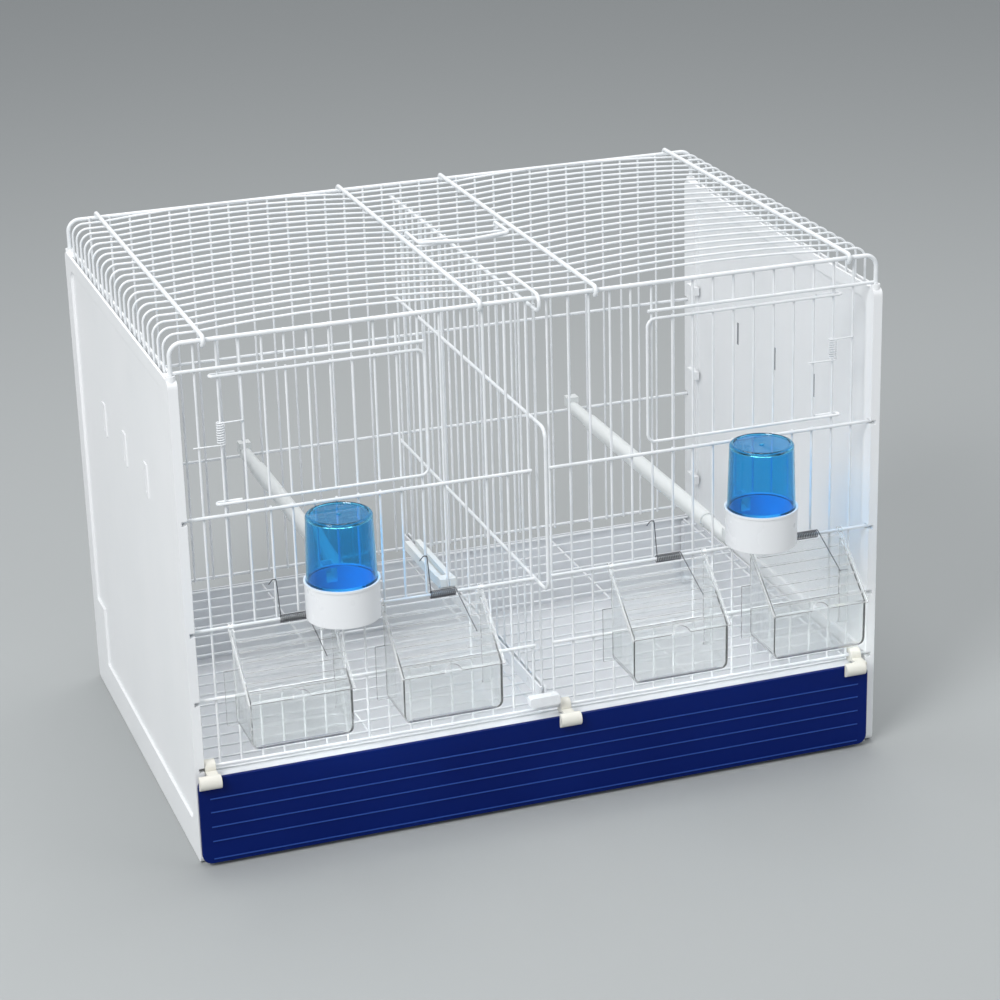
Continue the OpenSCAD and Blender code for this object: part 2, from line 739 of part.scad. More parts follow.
// Feeder spring: hook and leg up the grille, coil round the cross wire, leg over the lid
lid_leg_s = 40;
lid_leg_x = 30;
lid_leg_n = lid_t / 2 + rib_h + lid_spring_wire / 2 + eye_gap;
end_angle = 90 + lid_slope;
rings_total = curl_rings * lid_spring_turns;
leg_front = wire_d / 2 + lid_spring_wire / 2 + eye_gap;
function lid_spring_path() = let (dy = grille_inset - cross_y, up = lid_spring_leg)
    concat([[-5.2, dy + 0.2, up - 3.2], [-2.6, dy - leg_front + 0.3, up + 0.8],
        [-0.6, dy - leg_front, up + 1], [0.6, dy - leg_front - 0.1, up - 1],
        [1.3, dy - leg_front - 1.6, up / 2]],
    [for (i = [0 : rings_total])
        let (a = 180 + i * (end_angle - 180 + 360 * lid_spring_turns) / rings_total)
            [coil_start + i * lid_spring_len / rings_total, lid_spring_r * cos(a),
                lid_spring_r * sin(a)]],
    [for (t = [0.5, 1])
        let (n = lid_spring_r + t * (lid_leg_n - lid_spring_r), s = t * lid_leg_s)
            [coil_start + lid_spring_len + t * (lid_leg_x - coil_start - lid_spring_len),
                -s * cos(lid_slope) - n * sin(lid_slope),
                n * cos(lid_slope) - s * sin(lid_slope)]]);
module feeder_spring(i) placed() color(spring_steel)
    translate([wire_x(feeder_wires[i]), cross_y, feeder_high_z])
        tube(lid_spring_path(), [1, 0, 0], lid_spring_wire / 2);

module feeder_spring_1() feeder_spring(0);
module feeder_spring_2() feeder_spring(1);
module feeder_spring_3() feeder_spring(2);
module feeder_spring_4() feeder_spring(3);

// Frame of a closed feeder lid: X across, Y down its slope, Z square to it
module on_slope(i)
    translate([wire_x(feeder_wires[i]) + feeder_shift, cross_y, feeder_high_z])
        rotate([lid_slope, 0, 0])
            rotate([0, 0, 180])
                children();

module feeder_lid(i) placed() color(clear_plastic) on_slope(i) {
    difference() {
        union() {
            box([-lid_half, lid_start, -lid_t / 2], [lid_half, lid_len, lid_t / 2]);
            for (s = [-1, 1]) {
                translate([s > 0 ? barrel_in : -lid_half, 0, 0])
                    lengthwise()
                        cylinder(h = barrel_len, r = barrel_r, $fn = round_fn);
                translate([s > 0 ? barrel_in : -lid_half, 0, -lid_t / 2])
                    cube([barrel_len, lid_start + cut, lid_t]);
                translate([s > 0 ? lid_half - lid_rim_t : -lid_half, rim_start, -lid_rim])
                    cube([lid_rim_t, lid_len - rim_start, lid_rim]);
            }
            for (j = [1 : lid_ribs])
                translate([rib_end - lid_half,
                    lid_start + j * (lid_len - lid_start) / (lid_ribs + 1) - rib_w / 2, 0])
                    cube([2 * (lid_half - rib_end), rib_w, lid_t / 2 + rib_h]);
        }
        translate([-lid_half - cut, 0, 0])
            lengthwise()
                cylinder(h = 2 * lid_half + 2 * cut, d = cross_d + 2 * seat_gap,
                    $fn = round_fn);
        translate([0, lid_len, -lid_t])
            cylinder(h = 2 * lid_t, r = notch_r, $fn = round_fn);
    }
}

module feeder_lid_1() feeder_lid(0);
module feeder_lid_2() feeder_lid(1);
module feeder_lid_3() feeder_lid(2);
module feeder_lid_4() feeder_lid(3);

// Outlines of a feeder cup from the side and from the front. w is the wall taken off,
// and up is how much higher the outline goes at its open top.
cup_bottom_r = 6;
cup_top_s = 8;
cup_open = 4;
cup_front_low_y = cup_back_y - cup_bottom_d;
cup_front_top_y = slope_y(cup_front_s, cup_top_n);
cup_front_top_z = slope_z(cup_front_s, cup_top_n);
function cup_front_y(z) = cup_front_low_y + (cup_front_top_y - cup_front_low_y)
    * (z - cup_low_z - cup_bottom_r) / (cup_front_top_z - cup_low_z - cup_bottom_r);
function cup_side(w, up) = concat([[cup_back_y - w, cup_low_z + w],
    [cup_back_y - w, slope_z(cup_top_s, cup_top_n) + up],
    [slope_y(cup_top_s, cup_top_n), slope_z(cup_top_s, cup_top_n) + up],
    [cup_front_y(cup_front_top_z + up) + w, cup_front_top_z + up]],
    arc([cup_front_low_y + cup_bottom_r, cup_low_z + cup_bottom_r], cup_bottom_r - w, 180, 270));
function cup_face(w) = round_rect(w - cup_half, cup_low_z + w, cup_half - w,
    feeder_high_z + cup_corner_r, cup_corner_r - w);

module cup_body(w, up) intersection() {
    translate([-cup_half - cut, 0, 0])
        lengthwise()
            linear_extrude(height = 2 * cup_half + 2 * cut)
                polygon(cup_side(w, up));
    translate([0, cup_back_y + cut, 0])
        upright()
            linear_extrude(height = 2 * cup_bottom_d)
                polygon(cup_face(w));
}

// Feeder cup with its low back wall. The bird reaches in over that wall.
module feeder_cup(i) placed() color(clear_plastic)
    translate([wire_x(feeder_wires[i]) + feeder_shift, 0, 0]) {
        difference() {
            cup_body(0, 0);
            cup_body(cup_wall, cup_open);
            box([cup_wall - cup_half, cup_back_y - 2 * cup_wall, cup_lip_z],
                [cup_half - cup_wall, cup_back_y + cut, feeder_high_z]);
        }
        for (s = [-1, 1])
            box([s > 0 ? cup_half - cup_wall : -cup_half - wing_w, cup_back_y - cup_wall,
                wing_low], [s > 0 ? cup_half + wing_w : cup_wall - cup_half, cup_back_y,
                wing_high]);
    }

module feeder_cup_1() feeder_cup(0);
module feeder_cup_2() feeder_cup(1);
module feeder_cup_3() feeder_cup(2);
module feeder_cup_4() feeder_cup(3);

// Drinker: a round cup with a trough through the grille, and a bottle dome standing in it
drink_cup_r = drink_cup_d / 2;
cup_taper = 0.8;
drink_cup_foot_r = drink_cup_r - cup_taper;
rim_lip = 0.4;
rim_band = 2;
flange_reach = 1;
flange_step = 0.2;
flange_r = drink_cup_r - rim_lip - drink_wall - socket_gap;
dome_in_r = flange_r - flange_reach;
dome_rim_r = flange_r - flange_step;
dome_top_r = dome_rim_r - dome_taper;
dome_edge = 2.5;
dome_recess = 1;
recess_rim = 3.1;
recess_slant = 0.6;
recess_top_r = dome_top_r - recess_rim;
recess_floor_r = recess_top_r - recess_slant;
flange_sink = 0.4;
flange_z = drink_cup_h - flange_sink;
flange_t = 1;
stand_half = 2;
stand_sink = 0.1;
nub_r = 2;
nub_h = 0.8;
module at_drinker(s) placed()
    translate([s * wire_x(wire_slots - 1 - drinker_wire) + drink_shift[s > 0 ? 1 : 0], drink_y,
        feeder_high_z + drink_up + (s > 0 ? drink_step : 0)])
        children();

module drinker_cup(s) color(panel_white) at_drinker(s) {
    trough_x = -drink_shift[s > 0 ? 1 : 0];
    difference() {
        union() {
            cylinder(h = drink_cup_h, r1 = drink_cup_foot_r, r2 = drink_cup_r - rim_lip,
                $fn = round_fn);
            translate([0, 0, drink_cup_h - rim_band])
                cylinder(h = rim_band, r = drink_cup_r, $fn = round_fn);
            box([trough_x - trough_w / 2, 0, trough_low],
                [trough_x + trough_w / 2, trough_end_y - drink_y, trough_low + trough_h]);
        }
        translate([0, 0, drink_wall])
            cylinder(h = drink_cup_h, r1 = drink_cup_foot_r - drink_wall,
                r2 = drink_cup_r - rim_lip - drink_wall, $fn = round_fn);
        box([trough_x + drink_wall - trough_w / 2, 0, trough_low + drink_wall],
            [trough_x + trough_w / 2 - drink_wall, trough_end_y - drink_y - drink_wall,
                trough_low + trough_h + cut]);
    }
    for (a = [45 : 90 : 315])
        rotate([0, 0, a])
            box([dome_in_r - drink_wall / 2 - stand_half, -stand_half,
                drink_wall - stand_sink],
                [dome_in_r - drink_wall / 2 + stand_half, stand_half,
                    dome_low - socket_gap]);
}

// Outline of a dome from the middle outwards and down, and back up inside
function dome_outline() = concat(
    [[0, dome_top - dome_recess + nub_h], [nub_r, dome_top - dome_recess + nub_h],
        [nub_r, dome_top - dome_recess], [recess_floor_r, dome_top - dome_recess],
        [recess_top_r, dome_top]],
    [for (i = [0 : corner_steps]) let (a = 90 - 90 * i / corner_steps)
        [dome_top_r - dome_edge + dome_edge * cos(a),
            dome_top - dome_edge + dome_edge * sin(a)]],
    [[dome_rim_r, flange_z + 2 * flange_t], [flange_r, flange_z + flange_t],
        [flange_r, flange_z], [dome_in_r, flange_z - flange_t / 2], [dome_in_r, dome_low],
        [dome_in_r - drink_wall, dome_low],
        [dome_in_r - drink_wall, flange_z - flange_t / 2],
        [dome_rim_r - drink_wall, flange_z + 2 * flange_t],
        [dome_top_r - drink_wall, dome_top - dome_edge - dome_recess],
        [recess_floor_r, dome_top - dome_recess - drink_wall],
        [0, dome_top - dome_recess - drink_wall]]);
module drinker_dome(s) color(dome_blue) at_drinker(s)
    rotate_extrude($fn = round_fn)
        polygon(dome_outline());

module drinker_cup_left() drinker_cup(-1);
module drinker_cup_right() drinker_cup(1);
module drinker_dome_left() drinker_dome(-1);
module drinker_dome_right() drinker_dome(1);

// Divider in the middle plane. Its upper wire hooks over the roof, its cross wires meet
// in a loop in front of the slot, and its bottom wire sits in the plastic strip.
module divider_grille() placed() color(wire_white) {
    translate([-divider_side, 0, 0]) {
        link([0, divider_back_y, divider_top_z], [0, hook_front_y, divider_top_z], divider_d);
        translate([0, hook_front_y, divider_top_z + hook_r])
            lengthwise()
                bend(hook_r, 90, 270, divider_d);
        link([0, hook_front_y, hook_z], [0, hook_end_y, hook_z], divider_d);
        for (z = [divider_low_z, divider_high_z])
            link([0, divider_back_y, z], [0, loop_r - divider_reach, z], divider_d);
        link([0, -divider_reach, divider_low_z + loop_r],
            [0, -divider_reach, divider_high_z - loop_r], divider_d);
        translate([0, loop_r - divider_reach, divider_low_z + loop_r])
            lengthwise()
                bend(loop_r, 180, 270, divider_d);
        translate([0, loop_r - divider_reach, divider_high_z - loop_r])
            lengthwise()
                bend(loop_r, 90, 180, divider_d);
    }
    rod([0, foot_wire_end_y, bottom_wire_z], [0, divider_back_y, bottom_wire_z], wire_d);
    for (i = [0 : divider_bars - 1])
        translate([0, divider_first_y + i * (divider_back_y - wire_d - divider_first_y)
            / (divider_bars - 1), 0])
            rod([0, 0, bottom_wire_z], [0, 0, divider_top_z + divider_d / 2], wire_d);
}

module divider_track() placed() color(panel_white)
    difference() {
        box([-track_w / 2, grille_inset + wire_d, track_low],
            [track_w / 2, divider_back_y, track_low + track_h]);
        box([-wire_d / 2 - hook_gap, 0, bottom_wire_z - wire_d / 2 - hook_gap],
            [wire_d / 2 + hook_gap, cage_d, track_low + track_h + cut]);
    }

module divider_foot() placed() color(panel_white)
    difference() {
        translate([0, foot_back_y, 0])
            upright()
                linear_extrude(height = foot_back_y - foot_front_y)
                    polygon(round_rect(-foot_left, foot_low, foot_right, foot_low + foot_h,
                        foot_corner_r));
        translate([0, foot_wire_end_y - seat_gap, bottom_wire_z])
            rotate([-90, 0, 0])
                cylinder(h = foot_back_y - foot_front_y, d = wire_d + 2 * hook_gap,
                    $fn = wire_fn);
    }

module tray() placed() color(panel_white) {
    difference() {
        box([-tray_half, tray_front_y, tray_low], [tray_half, tray_back_y, tray_h]);
        box([tray_wall - tray_half, tray_front_y + tray_wall, tray_low + tray_floor_t],
            [tray_half - tray_wall, tray_back_y - tray_wall, tray_h + cut]);
    }
    box([-tray_half, tray_front_y, tray_h - tray_wall],
        [tray_half, tray_ledge_y, tray_h]);
    for (x = [tray_wall - tray_half, tray_half - tray_wall - lug])
        for (y = [floor_first_y, cage_d / 2, floor_last_y - lug])
            box([x - (x < 0 ? lug_sink : 0), y, tray_low + tray_floor_t - lug_sink],
                [x + lug + (x < 0 ? 0 : lug_sink), y + lug, floor_low_z - lug_gap]);
}

module tray_front() placed() color(navy) {
    translate([0, tray_front_y, 0])
        upright()
            linear_extrude(height = tray_front_t)
                polygon(round_rect(tray_front_left, tray_low, tray_front_right, tray_front_h,
                    tray_corner_r));
    for (z = front_rib_zs)
        box([tray_front_left + front_rib_end,
            tray_front_y - tray_front_t - front_rib_h, z - front_rib_w / 2],
            [tray_front_right - front_rib_end, tray_front_y - tray_front_t + cut,
                z + front_rib_w / 2]);
}

// Floor grille lying on the tray's lugs
floor_cross_drop = wire_d - weld;
floor_low_z = floor_wire_z - floor_cross_drop - wire_d / 2;
floor_half = tray_half - tray_wall - floor_end;
floor_rail_end = 4;
lug_gap = 0.2;
module floor_grille() placed() color(wire_white) {
    for (i = [0 : floor_wires - 1]) {
        y = floor_first_y + i * (floor_last_y - floor_first_y) / (floor_wires - 1);
        rod([-floor_half, y, floor_wire_z], [floor_half, y, floor_wire_z], wire_d);
    }
    rail_x = floor_half - floor_rail_end;
    for (x = [-rail_x, -floor_half / 2, 0, floor_half / 2, rail_x])
        rod([x, floor_first_y - wire_d, floor_wire_z - floor_cross_drop],
            [x, floor_last_y + wire_d, floor_wire_z - floor_cross_drop], wire_d);
}

// Tray clip: a barrel in front of the tray, and a jaw round the lowest cross wire
clip_back_y = tray_front_y - tray_front_t - front_rib_h - hook_gap;
clip_arm_t = 2.6;
clip_sink = 2.5;
clip_lift = 0.5;
arm_end = 0.8;
jaw_bore_r = cross_d / 2 + slide_gap;
module tray_clip(i) placed() color(ivory) translate([clip_xs[i], 0, 0]) {
    intersection() {
        translate([clip_shift[i] - clip_w / 2, clip_back_y, clip_z])
            lengthwise()
                cylinder(h = clip_w, r = clip_r, $fn = round_fn);
        box([-clip_w - jaw_w, clip_back_y - 2 * clip_r, 0],
            [clip_w + jaw_w, clip_back_y, panel_h]);
    }
    box([-jaw_w / 2, clip_back_y - clip_sink, tray_front_h + clip_lift],
        [jaw_w / 2, cross_y - jaw_bore_r - arm_end, tray_front_h + clip_lift + clip_arm_t]);
    difference() {
        translate([-jaw_w / 2, cross_y, base_rail_z])
            lengthwise()
                cylinder(h = jaw_w, r = jaw_r, $fn = round_fn);
        translate([-jaw_w, cross_y, base_rail_z])
            lengthwise()
                cylinder(h = 2 * jaw_w, r = jaw_bore_r, $fn = round_fn);
        box([-jaw_w, cross_y, base_rail_z - jaw_bore_r],
            [jaw_w, cross_y + 2 * jaw_r, base_rail_z + jaw_bore_r]);
    }
}

module tray_clip_left() tray_clip(0);
module tray_clip_middle() tray_clip(1);
module tray_clip_right() tray_clip(2);

// Slotted head of a perch, with the wire that it takes at the origin
module perch_head(width, low, high) difference() {
    box([-width / 2, -perch_head_front, low], [width / 2, perch_head_d, high]);
    box([-wire_d / 2 - hook_gap, -perch_head_front - cut, low - cut],
        [wire_d / 2 + hook_gap, wire_d / 2 + seat_gap, high + cut]);
}

// Length of perch with a round top and a flat step under it
module perch_bar(y0, y1, w, t) translate([0, y0, 0])
    rotate([90, 0, 180])
        linear_extrude(height = y1 - y0)
            polygon(concat([for (a = [0 : 15 : 180]) [w / 2 * cos(a), t / 2 * sin(a)]],
                [[-w / 2, -t / 5], [-w / 3, -t / 5], [-w / 3, -t / 2], [w / 3, -t / 2],
                    [w / 3, -t / 5], [w / 2, -t / 5]]));

// Long perch, narrower near its ends, with a slotted head on a wire of either grille
module long_perch(i) placed() color(perch_white) translate([wire_x(perch_wires[i]), 0, perch_z]) {
    front_y = grille_inset + perch_head_d - perch_head_lap;
    perch_bar(front_y, cage_d - front_y, neck_w, neck_t);
    perch_bar(front_y + perch_neck, cage_d - front_y - perch_neck, perch_w, perch_t);
    translate([0, grille_inset, 0])
        perch_head(perch_head_w, perch_head_up - perch_head_h / 2,
            perch_head_up + perch_head_h / 2);
    translate([0, cage_d - grille_inset, 0])
        rotate([0, 0, 180])
            perch_head(perch_head_w, perch_head_up - perch_head_h / 2,
                perch_head_up + perch_head_h / 2);
}

module perch_left() long_perch(0);
module perch_right() long_perch(1);

// Short perch, a channel open at its top, clipped to a wire of the front grille
groove_w = 4.5;
groove_d = 5;
short_perch_gap = 0.6;
short_start = coil_clear + short_perch_gap;
short_head_top = 5;
module perch_short() placed() color(perch_white)
    translate([wire_x(short_perch_wire), 0, short_perch_z]) {
        difference() {
            box([-short_perch_w / 2, cross_y + short_start, -short_perch_t / 2],
                [short_perch_w / 2, grille_inset + short_perch_len, short_perch_t / 2]);
            box([-groove_w / 2, grille_inset + perch_head_d, short_perch_t / 2 - groove_d],
                [groove_w / 2, grille_inset + short_perch_len + cut, short_perch_t / 2 + cut]);
        }
        translate([0, grille_inset, 0])
            perch_head(short_perch_w, feeder_high_z + coil_clear + seat_gap - short_perch_z,
                short_head_top);
    }

side_panel_left();
side_panel_right();
front_grille();
back_grille();
roof_grille();
carry_handle();
door_left();
door_right();
door_spring_left();
door_spring_right();
feeder_lid_1();
feeder_lid_2();
feeder_lid_3();
feeder_lid_4();
feeder_cup_1();
feeder_cup_2();
feeder_cup_3();
feeder_cup_4();
feeder_spring_1();
feeder_spring_2();
feeder_spring_3();
feeder_spring_4();
drinker_cup_left();
drinker_cup_right();
drinker_dome_left();
drinker_dome_right();
divider_grille();
divider_track();
divider_foot();
tray();
tray_front();
floor_grille();
tray_clip_left();
tray_clip_middle();
tray_clip_right();
perch_left();
perch_right();
perch_short();
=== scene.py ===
# Looks of a double wire breeding cage for small birds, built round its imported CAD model.
# Lengths are in metres, in the model's own frame: X along the front, Y to the back, Z up.
import json
import math

import bpy
from mathutils import Matrix, Vector


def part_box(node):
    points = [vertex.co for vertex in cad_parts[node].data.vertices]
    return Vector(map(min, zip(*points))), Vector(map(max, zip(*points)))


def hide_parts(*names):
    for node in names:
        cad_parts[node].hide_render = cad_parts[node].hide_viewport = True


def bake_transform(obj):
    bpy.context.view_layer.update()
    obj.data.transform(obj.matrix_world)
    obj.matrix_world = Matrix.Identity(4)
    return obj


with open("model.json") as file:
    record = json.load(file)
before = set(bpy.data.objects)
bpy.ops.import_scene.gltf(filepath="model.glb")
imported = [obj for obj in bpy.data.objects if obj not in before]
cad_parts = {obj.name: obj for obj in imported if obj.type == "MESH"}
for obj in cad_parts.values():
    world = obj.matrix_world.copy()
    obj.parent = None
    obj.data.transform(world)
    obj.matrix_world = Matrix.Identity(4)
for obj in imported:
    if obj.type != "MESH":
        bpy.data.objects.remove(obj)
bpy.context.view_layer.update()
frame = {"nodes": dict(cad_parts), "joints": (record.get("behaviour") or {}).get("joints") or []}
nodes = frame["nodes"]
joints = {joint["name"]: joint for joint in frame["joints"]}

# Springs: radii, leg lengths, the wire that a hook goes round, and how finely they are drawn
TUBE_SIDES = 12
RINGS_PER_CURL = 28
DOOR_SPRING_WIRE = 0.0011
DOOR_SPRING_R = 0.003
DOOR_SPRING_TURNS = 9
DOOR_SPRING_LENGTH = 0.018
DOOR_LOWER_LEG = 0.023
DOOR_UPPER_LEG = 0.018
DOOR_LEG_LEAN = 0.035
LID_SPRING_WIRE = 0.0008
LID_SPRING_R = 0.00305
LID_SPRING_TURNS = 14
LID_SPRING_LENGTH = 0.0215
LID_COIL_START = 0.002
LID_LEG_UP = 0.033
LID_LEG_ALONG = 0.040
LID_LEG_OUT = 0.030
LID_LEG_HIGH = 0.0028
LID_SLOPE = math.radians(39.7)
HOOK_WIRE_BEHIND = 0.0022
HOOK_WIRE_R = 0.001
HOOK_GAP = 0.0003

# Slots through the side panels, whose walls get painted shade: pitch, half width, and their ends
# in height
SLOT_PITCH = 0.081
SLOT_HALF = 0.0016
SLOT_LOW = 0.2799
SLOT_HIGH = 0.3011

# Camera: where the photograph was taken from
CAMERA_AT = Vector((-0.7134, -2.15035, 1.0752))
CAMERA_AZIMUTH = math.radians(-18.87)
CAMERA_ELEVATION = math.radians(20.93)
CAMERA_ROLL = math.radians(-1.57)
CAMERA_LENS = 100.66
CAMERA_CLIP_END = 50.0
SENSOR = 36.0

# Stage: the floor, the daylight and three lamps as name, place, size and power
FLOOR_SIZE = 14.0
FLOOR_DROP = 0.0005
FLOOR_COLOR = (0.38, 0.395, 0.395)
DAYLIGHT_COLOR = (0.93, 0.96, 1.0, 1.0)
DAYLIGHT_STRENGTH = 0.55
LAMPS_AIM = Vector((0, 0, 0.2))
LAMPS = [("key", (-1.9, -1.5, 2.1), 1.2, 58.0), ("fill", (2.0, -1.2, 1.4), 1.4, 10.0),
         ("top", (0.2, 0.6, 2.6), 1.6, 32.0)]


def srgb(red, green, blue):
    """Linear colour of an 8-bit screen colour."""
    def linear(value):
        share = value / 255
        return share / 12.92 if share <= 0.04045 else ((share + 0.055) / 1.055) ** 2.4
    return (linear(red), linear(green), linear(blue), 1.0)


class Material:
    """A procedural material, built up node by node round one Principled shader."""

    def __init__(self, name, color, roughness, **inputs):
        self.material = bpy.data.materials.new(name)
        self.material.use_nodes = True
        self.tree = self.material.node_tree
        self.shader = self.tree.nodes["Principled BSDF"]
        self.shader.inputs["Base Color"].default_value = color
        self.shader.inputs["Roughness"].default_value = roughness
        for key, value in inputs.items():
            self.shader.inputs[key.replace("_", " ")].default_value = value
        self.coords = self.add("ShaderNodeTexCoord").outputs["Object"]

    def add(self, kind, **settings):
        node = self.tree.nodes.new(kind)
        for key, value in settings.items():
            if key in node.inputs:
                node.inputs[key].default_value = value
            else:
                setattr(node, key, value)
        return node

    def link(self, output, target):
        self.tree.links.new(output, target)

    def noise(self, scale, detail=2.0, stretch=(1, 1, 1)):
        mapping = self.add("ShaderNodeMapping")
        mapping.inputs["Scale"].default_value = stretch
        self.link(self.coords, mapping.inputs["Vector"])
        texture = self.add("ShaderNodeTexNoise", Scale=scale, Detail=detail)
        self.link(mapping.outputs["Vector"], texture.inputs["Vector"])
        return texture.outputs["Fac"]

    def ramp(self, value, low, high, to_low, to_high):
        node = self.add("ShaderNodeMapRange")
        self.link(value, node.inputs["Value"])
        for key, number in zip(("From Min", "From Max", "To Min", "To Max"),
                               (low, high, to_low, to_high)):
            node.inputs[key].default_value = number
        return node.outputs["Result"]

    def mix(self, factor, first, second):
        node = self.add("ShaderNodeMix", data_type="RGBA")
        self.link(factor, node.inputs["Factor"])
        for socket, value in zip((node.inputs[6], node.inputs[7]), (first, second)):
            if isinstance(value, tuple):
                socket.default_value = value
            else:
                self.link(value, socket)
        return node.outputs[2]

    def color(self, output):
        self.link(output, self.shader.inputs["Base Color"])

    def roughness(self, output):
        self.link(output, self.shader.inputs["Roughness"])

    def bump(self, height, distance, strength=1.0):
        node = self.add("ShaderNodeBump", Distance=distance, Strength=strength)
        self.link(height, node.inputs["Height"])
        self.link(node.outputs["Normal"], self.shader.inputs["Normal"])
        return node

    def math(self, operation, first, *others):
        node = self.add("ShaderNodeMath", operation=operation)
        self.link(first, node.inputs[0])
        for socket, value in zip(node.inputs[1:], others):
            if isinstance(value, float):
                socket.default_value = value
            else:
                self.link(value, socket)
        return node.outputs[0]

    def let_light_through(self, tint):
        """Lets lamp light pass, tinted, instead of the black shadow of solid glass."""
        path = self.add("ShaderNodeLightPath")
        thin = self.add("ShaderNodeBsdfTransparent", Color=tint)
        mix = self.add("ShaderNodeMixShader")
        self.link(path.outputs["Is Shadow Ray"], mix.inputs[0])
        self.link(self.shader.outputs["BSDF"], mix.inputs[1])
        self.link(thin.outputs["BSDF"], mix.inputs[2])
        self.link(mix.outputs["Shader"],
                  self.tree.nodes["Material Output"].inputs["Surface"])

    def near_edge(self, radius):
        """1 along a sharp edge, falling to 0 about a radius away from it."""
        bevel = self.add("ShaderNodeBevel", samples=4, Radius=radius)
        geometry = self.add("ShaderNodeNewGeometry")
        dot = self.add("ShaderNodeVectorMath", operation="DOT_PRODUCT")
        self.link(bevel.outputs["Normal"], dot.inputs[0])
        self.link(geometry.outputs["Normal"], dot.inputs[1])
        return self.ramp(dot.outputs["Value"], 0.995, 0.9, 0.0, 1.0)

    def soften_edges(self, radius, bump=None):
        """Rounds sharp moulded edges in the shading."""
        node = self.add("ShaderNodeBevel", samples=4, Radius=radius)
        target = bump.inputs["Normal"] if bump else self.shader.inputs["Normal"]
        self.link(node.outputs["Normal"], target)


def coated_wire():
    """White powder coat on wire: slightly uneven, satin, with a fine orange peel."""
    m = Material("coated_wire", srgb(230, 233, 235), 0.34, Coat_Weight=0.25,
                 Coat_Roughness=0.22)
    m.color(m.mix(m.ramp(m.noise(55.0, 3.0), 0.35, 0.7, 0.0, 1.0),
                  srgb(234, 236, 238), srgb(223, 227, 229)))
    m.roughness(m.ramp(m.noise(240.0), 0.3, 0.7, 0.28, 0.44))
    m.bump(m.noise(1900.0, 1.0), 0.00006, 0.5)
    return m


def moulded_white(name, color, second, roughness=(0.36, 0.5), edge=0.0006, shade=None):
    """White moulded plastic: faint flow marks, fine sparked texture, soft edges."""
    m = Material(name, color, sum(roughness) / 2, Specular_IOR_Level=0.4)
    body = m.mix(m.ramp(m.noise(7.0, 4.0, (1, 1, 0.35)), 0.32, 0.72, 0.0, 1.0), color, second)
    # An optional shade function paints shade into the body colour
    m.color(shade(m, body) if shade else body)
    m.roughness(m.ramp(m.noise(35.0, 3.0), 0.3, 0.7, *roughness))
    bump = m.bump(m.noise(2600.0, 2.0), 0.00005, 0.6)
    m.soften_edges(edge, bump)
    return m


def painted_slot_shade(m, body):
    """Painted shade on the walls of the three slots through a side panel."""
    low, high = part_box("side_panel_left")
    separate = m.add("ShaderNodeSeparateXYZ")
    m.link(m.coords, separate.inputs["Vector"])
    along = m.math("SUBTRACT", separate.outputs["Y"], (low.y + high.y) / 2)
    near = m.math("LESS_THAN", m.math("ABSOLUTE", along), 1.5 * SLOT_PITCH)
    turned = m.math("WRAP", along, SLOT_PITCH / 2, -SLOT_PITCH / 2)
    inside = m.math("LESS_THAN", m.math("ABSOLUTE", turned), SLOT_HALF)
    above = m.math("GREATER_THAN", separate.outputs["Z"], SLOT_LOW)
    below = m.math("LESS_THAN", separate.outputs["Z"], SLOT_HIGH)
    mask = m.math("MULTIPLY", m.math("MULTIPLY", near, inside),
                  m.math("MULTIPLY", above, below))
    # Grey painted shade inside the slots, in place of the shadow on their walls
    return m.mix(mask, body, srgb(138, 142, 148))


def tray_blue(rib_front, plate_front):
    """Navy plastic, with a painted highlight in paler blue on the front faces of its raised
    ribs.
    """
    m = Material("navy_plastic", srgb(3, 26, 96), 0.42, Specular_IOR_Level=0.1)
    separate = m.add("ShaderNodeSeparateXYZ")
    m.link(m.coords, separate.inputs["Vector"])
    painted_rib_highlight = m.ramp(separate.outputs["Y"], rib_front, plate_front, 1.0, 0.0)
    body = m.mix(m.ramp(m.noise(9.0, 3.0), 0.3, 0.7, 0.0, 1.0),
                 srgb(2, 24, 92), srgb(5, 30, 102))
    # Paler blue where the ribs stand out in front: a painted highlight
    m.color(m.mix(painted_rib_highlight, body, srgb(46, 78, 156)))
    m.roughness(m.ramp(m.noise(60.0, 3.0), 0.3, 0.7, 0.36, 0.5))
    bump = m.bump(m.noise(2200.0, 2.0), 0.00004, 0.5)
    m.soften_edges(0.0007, bump)
    return m


def clear(name, color, second, roughness, passes, shadow, edge, frost_and_painted_highlight, ior=1.45):
    """Clear injection-moulded plastic: faint flow waves, fine scratches, frosted edges, and a
    painted highlight along sharp edges, where less light passes and the pale body colour shows
    white.
    """
    m = Material(name, color, roughness, Transmission_Weight=passes, IOR=ior)
    m.color(m.mix(m.ramp(m.noise(14.0, 3.0), 0.35, 0.7, 0.0, 1.0), color, second))
    scratches = m.ramp(m.noise(90.0, 4.0, (1, 6, 1)), 0.45, 0.8, roughness, roughness + 0.08)
    sharp = m.near_edge(edge)
    m.roughness(m.math("ADD", scratches, m.math("MULTIPLY", sharp, frost_and_painted_highlight)))
    # Less light passes at sharp edges, so they show the pale body colour white: a painted
    # highlight
    m.link(m.ramp(sharp, 0.0, 1.0, passes, passes - frost_and_painted_highlight),
           m.shader.inputs["Transmission Weight"])
    m.bump(m.noise(60.0, 1.5), 0.0004, 0.35)
    m.let_light_through(shadow)
    return m


def spring_steel():
    """Dull drawn spring steel."""
    m = Material("spring_steel", srgb(104, 105, 108), 0.32, Metallic=0.85)
    m.color(m.mix(m.ramp(m.noise(300.0, 2.0), 0.35, 0.65, 0.0, 1.0),
                  srgb(88, 89, 92), srgb(120, 121, 124)))
    m.roughness(m.ramp(m.noise(900.0), 0.3, 0.7, 0.25, 0.45))
    m.bump(m.noise(2500.0, 2.0), 0.00003, 0.5)
    return m


